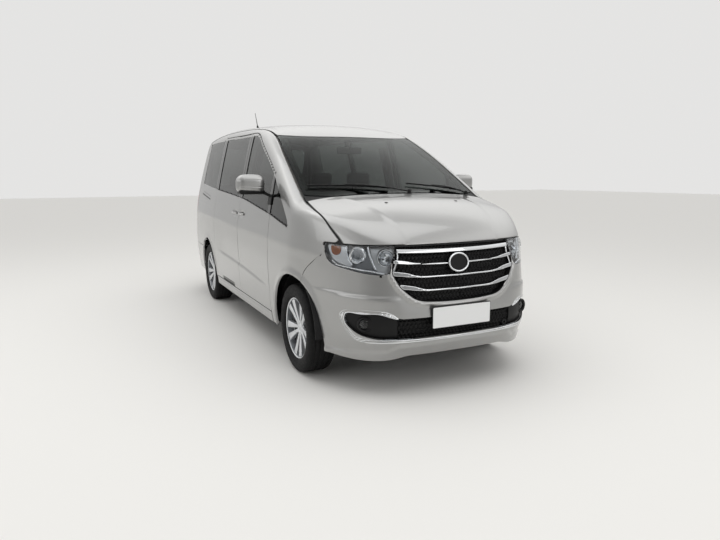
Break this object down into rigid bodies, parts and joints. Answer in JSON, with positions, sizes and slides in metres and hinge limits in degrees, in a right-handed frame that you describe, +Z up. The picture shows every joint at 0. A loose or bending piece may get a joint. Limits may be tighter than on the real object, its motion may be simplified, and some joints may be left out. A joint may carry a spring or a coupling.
{
  "type": "minivan",
  "caption": "One-box family minivan with hinged front doors, bonnet and tailgate, steered front wheels and seven seats",
  "frame": {"origin": "on the floor, below the middle of the vehicle's bounding box", "axes": "+X forward, +Y to the vehicle's left, +Z up"},
  "size_m": [4.946, 2.26, 2.077],
  "materials": {
    "silver_paint": "metallic lacquer",
    "tinted_glass": "grey tint",
    "lamp_glass": "clear",
    "red_lens": "red",
    "chrome_trim": "polished",
    "white_plate": "satin",
    "black_plastic": "grained",
    "grey_plastic": "grained",
    "seat_cloth": "woven",
    "body_steel": "underseal",
    "engine_iron": "cast",
    "tyre_rubber": "rubber",
    "rim_alloy": "machined"
  },
  "bodies": {
    "body_shell": {"body_sides": "silver_paint", "front_fenders": "silver_paint", "roof_panel": "silver_paint", "windscreen": "tinted_glass", "cowl_panel": "black_plastic", "front_bumper": "silver_paint", "headlamps": "lamp_glass", "grille_meshes": "black_plastic", "grille_slats": "chrome_trim", "number_plates": "white_plate", "rear_bumper": "silver_paint", "tail_lamps": "red_lens", "quarter_glass": "tinted_glass", "sliding_doors": "silver_paint", "sliding_door_glass": "tinted_glass", "pillars_and_sills": "body_steel", "floor_pan": "body_steel", "wheelhouse_liners": "black_plastic", "front_subframe": "body_steel", "suspension_springs": "body_steel", "engine_block": "engine_iron", "rear_axle_beam": "body_steel", "fuel_tank": "black_plastic", "exhaust": "body_steel", "dashboard": "grey_plastic", "front_seats": "seat_cloth", "middle_seats": "seat_cloth", "rear_bench": "seat_cloth", "seat_frames": "body_steel", "wipers": "black_plastic", "aerial": "black_plastic"},
    "door_left": {"front_door_left": "silver_paint", "front_door_glass_left": "tinted_glass", "mirror_left": "silver_paint"},
    "upright_left": {"knuckle_left": "body_steel"},
    "door_right": {"front_door_right": "silver_paint", "front_door_glass_right": "tinted_glass", "mirror_right": "silver_paint"},
    "upright_right": {"knuckle_right": "body_steel"},
    "hood": {"bonnet": "silver_paint"},
    "hatch": {"tailgate": "silver_paint", "tailgate_glass": "tinted_glass"},
    "wheel_front_left": {"tyre_front_left": "tyre_rubber", "rim_front_left": "rim_alloy"},
    "wheel_front_right": {"tyre_front_right": "tyre_rubber", "rim_front_right": "rim_alloy"},
    "wheel_rear_left": {"tyre_rear_left": "tyre_rubber", "rim_rear_left": "rim_alloy"},
    "wheel_rear_right": {"tyre_rear_right": "tyre_rubber", "rim_rear_right": "rim_alloy"},
    "handwheel": {"steering_wheel": "grey_plastic"}
  },
  "joints": [
    {"name": "front_door_left_hinge", "type": "hinge", "parent": "body_shell", "child": "door_left", "pos_m": [1.062, 0.914, 0.7], "axis": [0, 0, -1], "range_deg": [0, 65]},
    {"name": "front_door_right_hinge", "type": "hinge", "parent": "body_shell", "child": "door_right", "pos_m": [1.062, -0.914, 0.7], "axis": [0, 0, 1], "range_deg": [0, 65]},
    {"name": "bonnet_hinge", "type": "hinge", "parent": "body_shell", "child": "hood", "pos_m": [1.6, 0, 1.318], "axis": [0, -1, 0], "range_deg": [0, 55]},
    {"name": "tailgate_hinge", "type": "hinge", "parent": "body_shell", "child": "hatch", "pos_m": [-2.073, 0, 1.925], "axis": [0, 1, 0], "range_deg": [0, 80]},
    {"name": "steer_left", "type": "hinge", "parent": "body_shell", "child": "upright_left", "pos_m": [1.595, 0.705, 0.326], "axis": [0, 0, 1], "range_deg": [-33, 33]},
    {"name": "steer_right", "type": "hinge", "parent": "body_shell", "child": "upright_right", "pos_m": [1.595, -0.705, 0.326], "axis": [0, 0, 1], "range_deg": [-33, 33]},
    {"name": "steering_wheel_turn", "type": "hinge", "parent": "body_shell", "child": "handwheel", "pos_m": [0.905, 0.365, 1.085], "axis": [-0.9, 0, 0.436], "range_deg": [-495, 495]},
    {"name": "wheel_front_left_spin", "type": "hinge", "parent": "upright_left", "child": "wheel_front_left", "pos_m": [1.595, 0.778, 0.326], "axis": [0, 1, 0], "continuous": true},
    {"name": "wheel_front_right_spin", "type": "hinge", "parent": "upright_right", "child": "wheel_front_right", "pos_m": [1.595, -0.778, 0.326], "axis": [0, 1, 0], "continuous": true},
    {"name": "wheel_rear_left_spin", "type": "hinge", "parent": "body_shell", "child": "wheel_rear_left", "pos_m": [-1.355, 0.778, 0.326], "axis": [0, 1, 0], "continuous": true},
    {"name": "wheel_rear_right_spin", "type": "hinge", "parent": "body_shell", "child": "wheel_rear_right", "pos_m": [-1.355, -0.778, 0.326], "axis": [0, 1, 0], "continuous": true}
  ],
  "couplings": [
    {"joint": "steer_right", "follows": "steer_left", "ratio": 1},
    {"joint": "steering_wheel_turn", "follows": "steer_left", "ratio": 15}
  ]
}
